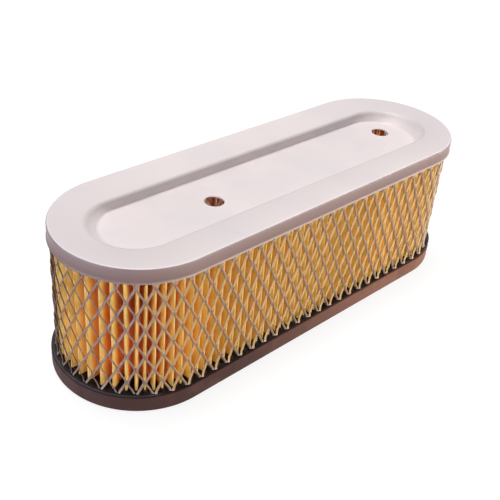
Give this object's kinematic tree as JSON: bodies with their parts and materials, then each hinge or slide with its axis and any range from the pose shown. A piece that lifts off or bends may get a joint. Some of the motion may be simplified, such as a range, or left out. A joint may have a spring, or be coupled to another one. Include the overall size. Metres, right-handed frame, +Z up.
{
  "type": "air filter cartridge",
  "caption": "Oblong small-engine air filter cartridge: pleated paper in an expanded metal sleeve, recessed steel cap with stud holes, moulded base gasket.",
  "frame": {"origin": "middle of the underside of the base, on the plane the cartridge stands on", "axes": "+X along the length towards the end that the cap overhangs, +Z up through the steel cap"},
  "size_m": [0.2074, 0.0698, 0.0635],
  "materials": {
    "cap_steel": "satin pale grey plated sheet",
    "top_compound": "cured potting compound",
    "screen_steel": "dull expanded sheet",
    "filter_paper": "resin-treated amber filter paper",
    "clip_steel": "folded strip",
    "inner_screen_steel": "dull expanded sheet",
    "base_compound": "cured black potting compound",
    "base_rubber": "matt brown moulded rubber"
  },
  "bodies": {
    "root": {"top_end_cap": "cap_steel", "top_potting": "top_compound", "outer_screen": "screen_steel", "pleated_media": "filter_paper", "media_seam_clip": "clip_steel", "inner_screen": "inner_screen_steel", "bottom_potting": "base_compound", "base_gasket": "base_rubber"}
  },
  "joints": []
}
